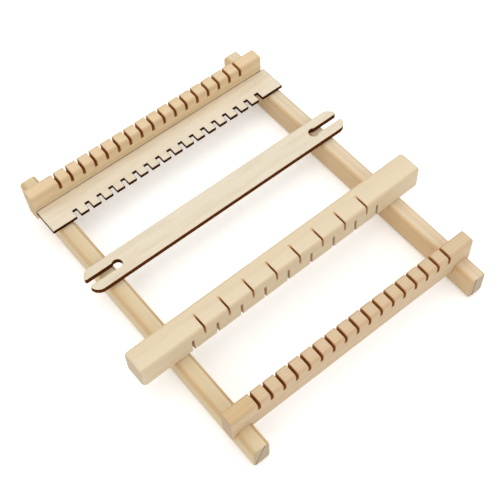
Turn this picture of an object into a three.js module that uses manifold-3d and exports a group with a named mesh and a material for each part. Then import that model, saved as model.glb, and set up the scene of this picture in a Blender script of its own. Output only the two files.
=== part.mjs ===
// Small wooden frame loom for tapestry weaving.
// Two rails carry two kerfed warp beams, lapped into their top edges and screwed from below. A heddle bar, a comb
// and a stick shuttle lie loose across the rails. Millimetres: +X along the beams, +Y from front to back, +Z up.
import * as THREE from "three";
import { mergeVertices } from "three/addons/utils/BufferGeometryUtils.js";
import Module from "manifold-3d";

// Clearances
const SEAT_GAP = 0.3;
const SCREW_GAP = 0.3;

// Rails
const LOOM_WIDTH = 220;
const RAIL_LENGTH = 293.5;
const RAIL_WIDTH = 14;
const RAIL_HEIGHT = 22;
const RAIL_ROUND = 2;
const RAIL_END_EASE = 0.7;

// Warp beams
const BEAM_DEPTH = 11.9;
const BEAM_HEIGHT = 27;
const BEAM_LENGTH = 225.6;
const BEAM_ROUND = 2.2;
const BEAM_END_EASE = 0.7;
const LAP_DEPTH = 8.1;
const FRONT_FOOT = 18.8;
const BACK_FOOT = 22;
const FRONT_BEAM_SHIFT = 0;
const BACK_BEAM_SHIFT = -2.9;

// Warp kerfs
const WARP_PITCH = 11.1;
const KERF_MARGIN = 21;
const FRONT_ROW_SHIFT = 0;
const BACK_ROW_SHIFT = -1.1;
const KERF_WIDTH = 2.4;
const KERF_DEPTH = 7.6;

// Heddle bar
const BAR_OVERHANG = 22.5;
const BAR_SHIFT = -5;
const BAR_DEPTH = 20.7;
const BAR_HEIGHT = 22;
const BAR_ROUND = 2.4;
const BAR_END_EASE = 1.2;
const BAR_FROM_BEAM = 57;
const BAR_YAW_DEG = 0.7;
const BAR_KERF_PITCH = 22;
const BAR_UPPER_KERF_WIDTH = 1.6;
const BAR_LOWER_KERF_WIDTH = 2.2;
const BAR_KERF_REACH = 13;
const BAR_UPPER_KERF_DROP = 9.5;
const BAR_LOWER_KERF_RISE = 15;
const BAR_PLAIN_END = 40;

// Comb and shuttle, cut from a thin and a thicker sheet of plywood
const COMB_PLY = 3;
const SHUTTLE_PLY = 4.6;
const COMB_WIDTH = 24.1;
const COMB_OVERHANG = 3.6;
const COMB_SHIFT = -1.4;
const NOTCH_PITCH = 11.3;
const NOTCH_ROW_SHIFT = -0.8;
const NOTCH_WIDTH = 3.8;
const NOTCH_DEPTH = 7;
const SHUTTLE_WIDTH = 22.3;
const SHUTTLE_OVERHANG = 12.9;
const SHUTTLE_SHIFT = 1.8;
const SHUTTLE_FROM_COMB = 45.1;
const SLOT_WIDTH = 6.2;
const SLOT_HOLE_RADIUS = 4.2;
const SLOT_HOLE_INSET = 26.5;

// Countersunk wood screws
const SCREW_RADIUS = 1.7;
const SCREW_LENGTH = 26;
const SCREW_TIP = 4;
const HEAD_RADIUS = 3.4;
const HEAD_HEIGHT = 2.4;
const HEAD_SUNK = 0.6;
const DRIVE_WIDTH = 0.9;
const DRIVE_SPAN = 3.8;
const DRIVE_DEPTH = 1.4;

// Facets
const CORNER_STEPS = 6;
const ROUND_STEPS = 28;
const CUT_RUNOUT = 2;

// Places that follow from the sizes above
const railCentreX = (LOOM_WIDTH - RAIL_WIDTH) / 2;
const frontBeamY = -RAIL_LENGTH / 2 + FRONT_FOOT + BEAM_DEPTH / 2;
const backBeamY = RAIL_LENGTH / 2 - BACK_FOOT - BEAM_DEPTH / 2;
const lapFloorZ = RAIL_HEIGHT - LAP_DEPTH;
const beamBottomZ = lapFloorZ + SEAT_GAP;
const beamTopZ = beamBottomZ + BEAM_HEIGHT;
const restZ = RAIL_HEIGHT + SEAT_GAP;
const kerfSteps = Math.floor((LOOM_WIDTH - 2 * KERF_MARGIN) / WARP_PITCH);
const barLength = LOOM_WIDTH + 2 * BAR_OVERHANG;
const barY = frontBeamY + BEAM_DEPTH / 2 + BAR_FROM_BEAM + BAR_DEPTH / 2;
const combLength = LOOM_WIDTH + 2 * COMB_OVERHANG;
const combBackY = backBeamY - BEAM_DEPTH / 2 - SEAT_GAP;
const combFrontY = combBackY - COMB_WIDTH;
const shuttleHalf = LOOM_WIDTH / 2 + SHUTTLE_OVERHANG;
const shuttleY = combFrontY - SHUTTLE_FROM_COMB - SHUTTLE_WIDTH / 2;

const wasm = await Module();
wasm.setup();

// A closed three.js geometry as a solid that can be cut and joined.
function solidOf(geometry) {
  const bare = geometry.clone();
  bare.deleteAttribute("normal");
  bare.deleteAttribute("uv");
  const merged = mergeVertices(bare, 1e-4);
  const index = merged.index.array;
  const kept = [];
  for (let i = 0; i < index.length; i += 3) {
    const [a, b, c] = [index[i], index[i + 1], index[i + 2]];
    if (a !== b && b !== c && c !== a) kept.push(a, b, c);
  }
  const vertProperties = new Float32Array(merged.attributes.position.array);
  const triVerts = new Uint32Array(kept);
  return new wasm.Manifold(new wasm.Mesh({ numProp: 3, vertProperties, triVerts }));
}

// The solid's faces as a flat-shaded geometry.
function geometryOf(solid) {
  const mesh = solid.getMesh();
  const indexed = new THREE.BufferGeometry();
  indexed.setAttribute("position", new THREE.BufferAttribute(new Float32Array(mesh.vertProperties), 3));
  indexed.setIndex(new THREE.BufferAttribute(new Uint32Array(mesh.triVerts), 1));
  const flat = indexed.toNonIndexed();
  flat.computeVertexNormals();
  return flat;
}

function cutAll(blank, cutters) {
  return cutters.reduce((solid, cutter) => solid.subtract(solidOf(cutter)), solidOf(blank));
}

// A box between two corners.
function boxBetween(low, high) {
  const size = high.map((value, axis) => value - low[axis]);
  const middle = high.map((value, axis) => (value + low[axis]) / 2);
  return new THREE.BoxGeometry(...size).translate(...middle);
}

function roundedSection(width, height, radius) {
  const r = Math.min(radius, width / 2, height / 2);
  const [x, y] = [width / 2, height / 2];
  const section = new THREE.Shape();
  section.moveTo(-x + r, -y);
  section.lineTo(x - r, -y);
  section.absarc(x - r, -y + r, r, -Math.PI / 2, 0);
  section.lineTo(x, y - r);
  section.absarc(x - r, y - r, r, 0, Math.PI / 2);
  section.lineTo(-x + r, y);
  section.absarc(-x + r, y - r, r, Math.PI / 2, Math.PI);
  section.lineTo(-x, -y + r);
  section.absarc(-x + r, -y + r, r, Math.PI, Math.PI * 1.5);
  return section;
}

// A planed stick with eased long edges and ends, its axis along +Z and its middle at the origin.
function stick(width, height, length, radius, endEase) {
  const ease = Math.min(endEase, radius / 2);
  const geometry = new THREE.ExtrudeGeometry(roundedSection(width, height, radius), {
    depth: length - 2 * ease,
    bevelThickness: ease,
    bevelSize: ease,
    bevelOffset: -ease,
    bevelSegments: 2,
    curveSegments: CORNER_STEPS,
  });
  return geometry.translate(0, 0, ease - length / 2);
}

// Turns a stick so that its section's x and y become Y and Z, and its axis becomes X.
function alongX(geometry) {
  const turn = new THREE.Matrix4();
  turn.makeBasis(new THREE.Vector3(0, 1, 0), new THREE.Vector3(0, 0, 1), new THREE.Vector3(1, 0, 0));
  return geometry.applyMatrix4(turn);
}

// Turns a stick so that its section stays in X and Z, and its axis lies along Y.
function alongY(geometry) {
  return geometry.rotateX(Math.PI / 2);
}

// The round tool that leaves a countersunk hole for a screw, opening downwards at z = 0.
function screwHole() {
  const bore = SCREW_RADIUS + SCREW_GAP;
  const mouth = HEAD_RADIUS + SCREW_GAP;
  const profile = [
    new THREE.Vector2(0, -CUT_RUNOUT),
    new THREE.Vector2(mouth, -CUT_RUNOUT),
    new THREE.Vector2(mouth, HEAD_SUNK),
    new THREE.Vector2(bore, HEAD_SUNK + HEAD_HEIGHT),
    new THREE.Vector2(bore, HEAD_SUNK + SCREW_LENGTH + SCREW_GAP),
    new THREE.Vector2(0, HEAD_SUNK + SCREW_LENGTH + SCREW_GAP),
  ];
  return new THREE.LatheGeometry(profile, ROUND_STEPS).rotateX(Math.PI / 2);
}

function railSolid(centreX) {
  const blank = alongY(stick(RAIL_WIDTH, RAIL_HEIGHT, RAIL_LENGTH, RAIL_ROUND, RAIL_END_EASE));
  blank.translate(centreX, 0, RAIL_HEIGHT / 2);
  const cutters = [];
  for (const beamY of [frontBeamY, backBeamY]) {
    const half = BEAM_DEPTH / 2 + SEAT_GAP;
    const reach = RAIL_WIDTH / 2 + CUT_RUNOUT;
    const low = [centreX - reach, beamY - half, lapFloorZ];
    cutters.push(boxBetween(low, [centreX + reach, beamY + half, RAIL_HEIGHT + CUT_RUNOUT]));
    cutters.push(screwHole().translate(centreX, beamY, 0));
  }
  return cutAll(blank, cutters);
}

function beamSolid(beamY, shift, rowShift) {
  const blank = alongX(stick(BEAM_DEPTH, BEAM_HEIGHT, BEAM_LENGTH, BEAM_ROUND, BEAM_END_EASE));
  blank.translate(shift, beamY, beamBottomZ + BEAM_HEIGHT / 2);
  const cutters = [];
  const reach = BEAM_DEPTH / 2 + CUT_RUNOUT;
  for (let i = 0; i <= kerfSteps; i++) {
    const x = rowShift + (i - kerfSteps / 2) * WARP_PITCH;
    const low = [x - KERF_WIDTH / 2, beamY - reach, beamTopZ - KERF_DEPTH];
    cutters.push(boxBetween(low, [x + KERF_WIDTH / 2, beamY + reach, beamTopZ + CUT_RUNOUT]));
  }
  for (const side of [-1, 1]) cutters.push(screwHole().translate(side * railCentreX, beamY, 0));
  return cutAll(blank, cutters);
}

// A slanted saw cut across one front edge of the bar. rise is how far it runs along the front face, and side is 1 for
// the upper edge and -1 for the lower one.
function slantedKerf(x, width, rise, side) {
  const [frontY, edgeZ] = [-BAR_DEPTH / 2, (side * BAR_HEIGHT) / 2];
  const inner = new THREE.Vector2(frontY + BAR_KERF_REACH, edgeZ);
  const outer = new THREE.Vector2(frontY, edgeZ - side * rise);
  const runout = inner.clone().sub(outer).setLength(CUT_RUNOUT * 2);
  inner.add(runout);
  outer.sub(runout);
  const shape = new THREE.Shape([inner, new THREE.Vector2(outer.x, inner.y), outer]);
  const cutter = new THREE.ExtrudeGeometry(shape, { depth: width, bevelEnabled: false });
  return alongX(cutter.translate(0, 0, -width / 2)).translate(x, 0, 0);
}

// The heddle bar about its own middle: wide-spaced kerfs in its upper front edge, and between them the others in its
// lower front edge.
function heddleBarSolid() {
  const blank = alongX(stick(BAR_DEPTH, BAR_HEIGHT, barLength, BAR_ROUND, BAR_END_EASE));
  const lowerSteps = Math.floor((barLength - 2 * BAR_PLAIN_END) / BAR_KERF_PITCH);
  const cutters = [];
  for (let i = 0; i <= lowerSteps; i++) {
    const lowerX = (i - lowerSteps / 2) * BAR_KERF_PITCH;
    const upperX = lowerX + BAR_KERF_PITCH / 2;
    cutters.push(slantedKerf(lowerX, BAR_LOWER_KERF_WIDTH, BAR_LOWER_KERF_RISE, -1));
    if (i < lowerSteps) cutters.push(slantedKerf(upperX, BAR_UPPER_KERF_WIDTH, BAR_UPPER_KERF_DROP, 1));
  }
  return cutAll(blank, cutters);
}

// The comb's outline: a plain strip with a row of square notches in its front edge.
function combSolid() {
  const outline = new THREE.Shape();
  const [left, right] = [COMB_SHIFT - combLength / 2, COMB_SHIFT + combLength / 2];
  outline.moveTo(left, combBackY);
  outline.lineTo(left, combFrontY);
  for (let i = 0; i <= kerfSteps; i++) {
    const x = NOTCH_ROW_SHIFT + (i - kerfSteps / 2) * NOTCH_PITCH;
    outline.lineTo(x - NOTCH_WIDTH / 2, combFrontY);
    outline.lineTo(x - NOTCH_WIDTH / 2, combFrontY + NOTCH_DEPTH);
    outline.lineTo(x + NOTCH_WIDTH / 2, combFrontY + NOTCH_DEPTH);
    outline.lineTo(x + NOTCH_WIDTH / 2, combFrontY);
  }
  outline.lineTo(right, combFrontY);
  outline.lineTo(right, combBackY);
  const sheet = new THREE.ExtrudeGeometry(outline, { depth: COMB_PLY, bevelEnabled: false });
  return solidOf(sheet.translate(0, 0, restZ));
}

// One end of the shuttle's outline, from the lower long edge round to the upper one, for side = 1 at the right end.
// Two prongs with quarter-round tips stand either side of a slot that ends in a round hole.
function shuttleEnd(outline, side) {
  const edge = SHUTTLE_WIDTH / 2;
  const slot = SLOT_WIDTH / 2;
  const tip = edge - slot;
  const centre = shuttleHalf - tip;
  const hole = shuttleHalf - SLOT_HOLE_INSET;
  const reach = Math.asin(slot / SLOT_HOLE_RADIUS);
  const turned = side > 0 ? 0 : Math.PI;
  outline.lineTo(side * centre, -side * edge);
  outline.absarc(side * centre, -side * slot, tip, turned - Math.PI / 2, turned);
  outline.absarc(side * hole, 0, SLOT_HOLE_RADIUS, turned - reach, turned + reach, true);
  outline.lineTo(side * shuttleHalf, side * slot);
  outline.absarc(side * centre, side * slot, tip, turned, turned + Math.PI / 2);
}

function shuttleSolid() {
  const outline = new THREE.Shape();
  outline.moveTo(0, -SHUTTLE_WIDTH / 2);
  shuttleEnd(outline, 1);
  outline.lineTo(0, SHUTTLE_WIDTH / 2);
  shuttleEnd(outline, -1);
  const sheet = new THREE.ExtrudeGeometry(outline, {
    depth: SHUTTLE_PLY,
    bevelEnabled: false,
    curveSegments: ROUND_STEPS / 2,
  });
  return solidOf(sheet.translate(SHUTTLE_SHIFT, shuttleY, restZ));
}

// A countersunk screw standing on its head, with a cross drive in the head's underside.
function screwSolid() {
  const profile = [
    new THREE.Vector2(0, HEAD_SUNK),
    new THREE.Vector2(HEAD_RADIUS, HEAD_SUNK),
    new THREE.Vector2(SCREW_RADIUS, HEAD_SUNK + HEAD_HEIGHT),
    new THREE.Vector2(SCREW_RADIUS, HEAD_SUNK + SCREW_LENGTH - SCREW_TIP),
    new THREE.Vector2(0, HEAD_SUNK + SCREW_LENGTH),
  ];
  const body = new THREE.LatheGeometry(profile, ROUND_STEPS).rotateX(Math.PI / 2);
  const span = DRIVE_SPAN / 2;
  const slit = DRIVE_WIDTH / 2;
  const floor = HEAD_SUNK + DRIVE_DEPTH;
  const drives = [
    boxBetween([-span, -slit, HEAD_SUNK - CUT_RUNOUT], [span, slit, floor]),
    boxBetween([-slit, -span, HEAD_SUNK - CUT_RUNOUT], [slit, span, floor]),
  ];
  return cutAll(body, drives);
}

const PINE = { color: 0xe3bf88, roughness: 0.62, metalness: 0 };
const PALE_PINE = { color: 0xe8d2a8, roughness: 0.6, metalness: 0 };
const LIMEWOOD = { color: 0xeadcbe, roughness: 0.58, metalness: 0 };
const BIRCH_PLY = { color: 0xe2d4b4, roughness: 0.66, metalness: 0 };
const ZINC_STEEL = { color: 0xb9bcc0, roughness: 0.35, metalness: 1 };

function addPiece(parent, name, solid, look) {
  const mesh = new THREE.Mesh(geometryOf(solid), new THREE.MeshStandardMaterial(look));
  mesh.name = name;
  parent.add(mesh);
  return mesh;
}

const loom = new THREE.Group();
addPiece(loom, "left_rail", railSolid(-railCentreX), PINE);
addPiece(loom, "right_rail", railSolid(railCentreX), PINE);
addPiece(loom, "front_beam", beamSolid(frontBeamY, FRONT_BEAM_SHIFT, FRONT_ROW_SHIFT), PALE_PINE);
addPiece(loom, "back_beam", beamSolid(backBeamY, BACK_BEAM_SHIFT, BACK_ROW_SHIFT), PALE_PINE);

const heddleBar = addPiece(loom, "heddle_bar", heddleBarSolid(), LIMEWOOD);
heddleBar.position.set(BAR_SHIFT, barY, restZ + BAR_HEIGHT / 2);
heddleBar.rotation.z = THREE.MathUtils.degToRad(BAR_YAW_DEG);

addPiece(loom, "comb", combSolid(), BIRCH_PLY);
addPiece(loom, "shuttle", shuttleSolid(), BIRCH_PLY);

for (const [end, beamY] of [["front", frontBeamY], ["back", backBeamY]]) {
  for (const [hand, side] of [["left", -1], ["right", 1]]) {
    const screw = addPiece(loom, `${end}_${hand}_screw`, screwSolid(), ZINC_STEEL);
    screw.position.set(side * railCentreX, beamY, 0);
  }
}

// The origin is the middle of everything's outline on the table that the rails stand on.
const outlineBox = new THREE.Box3().setFromObject(loom);
const outlineMiddle = outlineBox.getCenter(new THREE.Vector3());
loom.position.set(-outlineMiddle.x, -outlineMiddle.y, 0);

export default loom;
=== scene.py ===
"""A small wooden frame loom for tapestry weaving.

Two pine rails carry two warp beams, lapped into their top edges. A heddle bar, a comb and a stick shuttle lie across
the rails. Metres, with +X along the beams, +Y from front to back and +Z up.
"""

import math
from functools import partialmethod

import bmesh
import bpy
from bpy.props import FloatProperty, FloatVectorProperty, IntProperty, PointerProperty
from mathutils import Matrix, Vector


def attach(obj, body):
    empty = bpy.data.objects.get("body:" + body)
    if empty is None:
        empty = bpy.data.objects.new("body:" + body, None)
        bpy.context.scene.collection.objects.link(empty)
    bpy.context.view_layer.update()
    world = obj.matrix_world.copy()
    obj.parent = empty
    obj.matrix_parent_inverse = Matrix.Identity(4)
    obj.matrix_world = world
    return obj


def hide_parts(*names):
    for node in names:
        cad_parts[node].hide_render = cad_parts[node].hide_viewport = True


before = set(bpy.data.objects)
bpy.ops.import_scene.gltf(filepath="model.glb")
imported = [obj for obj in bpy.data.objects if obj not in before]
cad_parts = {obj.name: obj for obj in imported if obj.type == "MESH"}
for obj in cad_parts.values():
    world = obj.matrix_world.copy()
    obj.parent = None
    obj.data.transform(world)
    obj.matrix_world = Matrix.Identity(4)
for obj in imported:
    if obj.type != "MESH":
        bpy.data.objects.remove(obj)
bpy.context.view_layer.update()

bl_info = {
    "name": "Tapestry loom",
    "version": (1, 0, 0),
    "blender": (4, 5, 0),
    "location": "View3D > Sidebar > Loom",
    "description": "Builds a small wooden tapestry loom piece by piece",
    "category": "Object",
}

MM = 0.001
TO_MM = 1000.0
CORNER_STEPS = 8
EASE_STEPS = 6
RUNOUT = 2 * MM
PLANED_EDGE = 0.2 * MM
SANDED_EDGE = 0.15 * MM
PLYWOOD_EDGE = 0.12 * MM
GRAIN_RELIEF = 0.12 * MM
ZINC_RELIEF = 0.03 * MM
BROKEN_FROM = math.radians(40)
SHARP_FROM = math.radians(38)
FEWEST_FACES = 6

# Colours as light

WHITE = (1.0, 1.0, 1.0, 1.0)
STAIN = (0.94, 0.90, 0.76, 1.0)
END_GRAIN = (0.79, 0.77, 0.78, 1.0)
HEART_GRAIN = (0.68, 0.64, 0.62, 1.0)
HEART_LINE = (0.155, 0.085, 0.05, 1.0)
# Darker tone on the rounded edges: wear and painted shade.
WORN_AND_SHADED_EDGE = (0.92, 0.88, 0.82, 1.0)
# Darkening deep in a cut: painted shade.
KERF_DEPTH_SHADE = (0.54, 0.37, 0.22, 1.0)
SINGED = (0.40, 0.22, 0.09, 1.0)
CHARRED = (0.035, 0.010, 0.003, 1.0)
CORE_PLY = (0.150, 0.042, 0.003, 1.0)
GLUE_LINE = (0.018, 0.005, 0.001, 1.0)
PALE_FIBRES = (2.1, 1.8, 1.5, 1.0)
CHARRED_PLIES = (0.24, 0.18, 0.14, 1.0)
DULL_ZINC = (0.62, 0.62, 0.62, 1.0)
PAPER_CLOUDS = (0.97, 0.97, 0.97, 1.0)
AIR = (0.97, 0.985, 1.0, 1.0)


def tone(red, green, blue):
    """A colour as a paint card gives it, 0 to 255."""
    return (red / 255, green / 255, blue / 255)


def linear(card):
    """A paint-card colour as light, with full opacity."""
    parts = [c / 12.92 if c <= 0.04045 else ((c + 0.055) / 1.055) ** 2.4 for c in card]
    return (*parts, 1.0)


def offset(name, description, millimetres, **limits):
    return FloatProperty(name=name, description=description, default=millimetres * MM, precision=5,
                         subtype="DISTANCE", **limits)


def length(name, description, millimetres):
    return offset(name, description, millimetres, min=0)


def colour(name, description, red, green, blue):
    return FloatVectorProperty(name=name, description=description, default=tone(red, green, blue), min=0, max=1,
                               size=3, subtype="COLOR_GAMMA")


def amount(name, description, value):
    return FloatProperty(name=name, description=description, default=value, min=0, max=1, subtype="FACTOR")


class LoomSizes(bpy.types.PropertyGroup):
    """Sizes of the loom's pieces"""

    middle: offset("Middle", "Where the loom's middle stands along X", 5)
    gap: length("Gap", "Clearance between pieces that touch", 0.3)
    loom_width: length("Loom width", "Over the outsides of the rails", 220)
    rail_length: length("Rail length", "From end to end", 293.5)
    rail_width: length("Rail width", "Across the top", 14)
    rail_height: length("Rail height", "From the table to the top", 22)
    rail_round: length("Rail rounding", "Of the long edges", 2.8)
    rail_ease: length("Rail end easing", "Of the ends", 0.9)
    beam_depth: length("Beam depth", "From front to back", 11.9)
    beam_height: length("Beam height", "From bottom to top", 27)
    beam_length: length("Beam length", "From end to end", 225.6)
    beam_round: length("Beam rounding", "Of the long edges", 2.2)
    lap_depth: length("Lap depth", "How deep the beams are let in", 8.1)
    lap_play: length("Lap play", "Clearance beside a beam in its lap", 0.06)
    front_foot: length("Front foot", "Rail in front of the beam", 18.8)
    back_foot: length("Back foot", "Rail behind the beam", 22)
    back_shift: offset("Back beam shift", "Sideways place", -2.9)
    warp_pitch: length("Warp pitch", "From kerf to kerf", 11.1)
    warp_kerfs: IntProperty(name="Warp kerfs", description="Saw cuts in each beam", default=17, min=1)
    back_row_shift: offset("Back kerf row shift", "Sideways place of its kerfs", -1.1)
    kerf_width: length("Kerf width", "Of a warp kerf", 2.4)
    kerf_depth: length("Kerf depth", "Of a warp kerf", 7.6)
    bar_length: length("Heddle bar length", "From end to end", 265)
    bar_depth: length("Heddle bar depth", "From front to back", 20.7)
    bar_height: length("Heddle bar height", "From bottom to top", 22)
    bar_round: length("Heddle bar rounding", "Of the long edges", 2.4)
    bar_ease: length("Heddle bar end easing", "Of the ends", 3)
    bar_from_beam: length("Heddle bar place", "From the front beam to the bar", 57)
    bar_shift: offset("Heddle bar shift", "Sideways place", -5)
    bar_yaw: FloatProperty(name="Heddle bar turn", description="How far it lies out of square",
                           default=math.radians(0.7), subtype="ANGLE")
    bar_pitch: length("Heddle kerf pitch", "From kerf to kerf in a row", 22)
    bar_lower_kerfs: IntProperty(name="Lower heddle kerfs", description="Cuts in the lower edge", default=9, min=2)
    bar_upper_width: length("Upper heddle kerf width", "In the upper edge", 1.6)
    bar_lower_width: length("Lower heddle kerf width", "In the lower edge", 2.2)
    bar_kerf_reach: length("Heddle kerf reach", "How far a kerf runs in over the face", 13)
    bar_upper_drop: length("Upper kerf drop", "Down the front face", 9.5)
    bar_lower_rise: length("Lower kerf rise", "Up the front face", 15)
    comb_ply: length("Comb plywood", "Thickness", 3)
    shuttle_ply: length("Shuttle plywood", "Thickness", 4.6)
    comb_length: length("Comb length", "From end to end", 227.2)
    comb_width: length("Comb width", "From front to back", 24.1)
    comb_shift: offset("Comb shift", "Sideways place", -1.4)
    notch_row_shift: offset("Notch row shift", "Sideways place", -0.8)
    notch_pitch: length("Notch pitch", "From notch to notch", 11.3)
    notch_width: length("Notch width", "Of a notch", 3.8)
    notch_depth: length("Notch depth", "Of a notch", 7)
    shuttle_length: length("Shuttle length", "From tip to tip", 245.8)
    shuttle_width: length("Shuttle width", "From front to back", 22.3)
    shuttle_shift: offset("Shuttle shift", "Sideways place", 1.8)
    shuttle_from_comb: length("Shuttle place", "From the shuttle to the comb", 45.1)
    slot_width: length("Slot width", "Of the shuttle's slots", 6.2)
    hole_radius: length("Hole radius", "Of the hole at a slot's end", 4.2)
    prong_round: length("Prong rounding", "Of a prong's inner corner", 1.3)
    hole_inset: length("Hole inset", "From the tip to the hole's middle", 26.5)
    screw_radius: length("Screw radius", "Radius of the shank", 1.7)
    screw_length: length("Screw length", "From head to point", 26)
    screw_tip: length("Screw tip", "Length of the point", 4)
    screw_pitch: length("Thread pitch", "From one turn to the next", 1.8)
    head_radius: length("Head radius", "Of the countersunk head", 3.4)
    head_height: length("Head height", "Of the countersunk head", 2.4)
    head_sunk: length("Head sunk", "How deep the head lies under the wood", 0.6)
    drive_width: length("Drive width", "Of a slit of the cross drive", 0.9)
    drive_span: length("Drive span", "Of the cross drive", 3.8)
    drive_depth: length("Drive depth", "Of the cross drive", 1.4)


class LoomFinish(bpy.types.PropertyGroup):
    """Colours of the loom's woods and metal"""

    left_rail: colour("Left rail", "Its pale wood", 226, 210, 179)
    left_rail_late: colour("Left rail rings", "Its late wood", 202, 166, 116)
    right_rail: colour("Right rail", "Its pale wood", 230, 212, 182)
    right_rail_late: colour("Right rail rings", "Its late wood", 208, 171, 126)
    front_beam: colour("Front beam", "Its pale wood", 221, 196, 160)
    front_beam_late: colour("Front beam rings", "Its late wood", 202, 168, 128)
    back_beam: colour("Back beam", "Its pale wood", 229, 204, 164)
    back_beam_late: colour("Back beam rings", "Its late wood", 206, 168, 118)
    heddle_bar: colour("Heddle bar", "Its pale wood", 231, 213, 181)
    heddle_bar_late: colour("Heddle bar rings", "Its late wood", 214, 189, 152)
    veneer: colour("Veneer", "Face of the plywood", 234, 221, 197)
    veneer_late: colour("Veneer figure", "Its dark figure", 224, 207, 178)
    kerf: colour("Kerf", "Raw wall of a saw cut", 212, 156, 98)
    burnt: colour("Burnt edge", "Cut edge of the plywood", 78, 28, 4)
    steel: colour("Screw steel", "Zinc plating", 186, 190, 196)
    rings: amount("Ring contrast", "How strongly they show", 0.75)
    floor: colour("Floor", "Floor and backdrop", 250, 250, 250)


class LoomPlaces:
    """Places that follow from the sizes."""

    def __init__(self, sizes):
        half = sizes.rail_length / 2
        self.rail_x = (sizes.loom_width - sizes.rail_width) / 2
        self.front_y = -half + sizes.front_foot + sizes.beam_depth / 2
        self.back_y = half - sizes.back_foot - sizes.beam_depth / 2
        self.lap_z = sizes.rail_height - sizes.lap_depth
        self.beam_bottom = self.lap_z + sizes.gap
        self.beam_top = self.beam_bottom + sizes.beam_height
        self.rest_z = sizes.rail_height + sizes.gap
        self.bar_y = self.front_y + sizes.beam_depth / 2 + sizes.bar_from_beam + sizes.bar_depth / 2
        self.comb_back = self.back_y - sizes.beam_depth / 2 - sizes.gap
        self.comb_front = self.comb_back - sizes.comb_width
        self.shuttle_x = sizes.middle + sizes.shuttle_shift
        self.shuttle_y = self.comb_front - sizes.shuttle_from_comb - sizes.shuttle_width / 2


# Meshes

def rounded_section(width, height, radius):
    """Points of a rounded rectangle about the origin, anticlockwise."""
    points = []
    for quarter, (sx, sy) in enumerate([(1, 1), (-1, 1), (-1, -1), (1, -1)]):
        centre = Vector((sx * (width / 2 - radius), sy * (height / 2 - radius)))
        for i in range(CORNER_STEPS + 1):
            angle = (quarter + i / CORNER_STEPS) * math.pi / 2
            points.append(centre + radius * Vector((math.cos(angle), math.sin(angle))))
    return points


def circle_point(radius, angle, level):
    return (radius * math.cos(angle), radius * math.sin(angle), level)


def new_object(name, data):
    made = bpy.data.objects.new(name, data)
    bpy.context.scene.collection.objects.link(made)
    return made


def tube(name, rings, tips=()):
    """An object of point rings that are joined into one closed tube. Its ends are flat, or run in to two tips."""
    work = bmesh.new()
    loops = [[work.verts.new(point) for point in ring] for ring in rings]
    sides = [(i, (i + 1) % len(loops[0])) for i in range(len(loops[0]))]
    for low, high in zip(loops, loops[1:]):
        for i, k in sides:
            work.faces.new((low[i], low[k], high[k], high[i]))
    for loop, tip in zip((loops[0], loops[-1]), tips):
        point = work.verts.new(tip)
        for i, k in sides:
            work.faces.new((loop[i], loop[k], point))
    if not tips:
        work.faces.new(list(reversed(loops[0])))
        work.faces.new(loops[-1])
    bmesh.ops.recalc_face_normals(work, faces=work.faces)
    mesh = bpy.data.meshes.new(name)
    work.to_mesh(mesh)
    work.free()
    old = bpy.data.objects.get(name)
    if old:
        bpy.data.objects.remove(old)
    return new_object(name, mesh)


def stick(name, size, radius, ease, axis):
    """A planed stick with rounded long edges and eased ends about the origin. size is (width, height, length), and
    axis is X or Y."""
    width, height, run = size
    rings = []
    for end in (-1, 1):
        for i in range(EASE_STEPS + 1):
            turn = (i if end < 0 else EASE_STEPS - i) / EASE_STEPS * math.pi / 2
            inset = ease * (1 - math.sin(turn))
            place = end * (run / 2 - ease * (1 - math.cos(turn)))
            section = rounded_section(width - 2 * inset, height - 2 * inset, radius - inset / 2)
            rings.append([(place, p.x, p.y) if axis == "X" else (-p.x, place, p.y) for p in section])
    return tube(name, rings)


def prism(name, outline, low, high, axis="Z"):
    """An outline in two axes pulled along the third, which is X or Z."""
    rings = [[(a, b, level) if axis == "Z" else (level, a, b) for a, b in outline] for level in (low, high)]
    return tube(name, rings)


def block(name, low, high):
    outline = [(low[0], low[1]), (high[0], low[1]), (high[0], high[1]), (low[0], high[1])]
    return prism(name, outline, low[2], high[2])


def turned(name, profile, segments=32):
    """A lathe shape about the Z axis from (radius, height) pairs that start and end on the axis."""
    rings = []
    for radius, level in profile[1:-1]:
        rings.append([circle_point(radius, 2 * math.pi * i / segments, level) for i in range(segments)])
    return tube(name, rings, [(0, 0, level) for _, level in (profile[0], profile[-1])])


# Geometry Nodes

def shared_tree(name, build):
    """The node tree of that name, built when it is first asked for."""
    return bpy.data.node_groups.get(name) or build(name)


def new_tree(name, kind, inputs, outputs):
    """An empty node tree, as its wiring and what it is given. inputs and outputs name each socket's type."""
    tree = bpy.data.node_groups.new(name, kind)
    for way, sockets in (("OUTPUT", outputs), ("INPUT", inputs)):
        for label, socket in sockets.items():
            tree.interface.new_socket(name=label, in_out=way, socket_type=f"NodeSocket{socket}")
    w = Wiring(tree)
    return w, w.node("NodeGroupInput").outputs


def real_finish(w, given, shape):
    """Ends a tree with real geometry in the given finish."""
    real = w.made("GeometryNodeRealizeInstances", {"Geometry": shape})
    done = w.made("GeometryNodeSetMaterial", {"Geometry": real, "Material": given["Finish"]})
    w.feed(w.node("NodeGroupOutput").inputs["Geometry"], done)
    return w.tree


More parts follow.
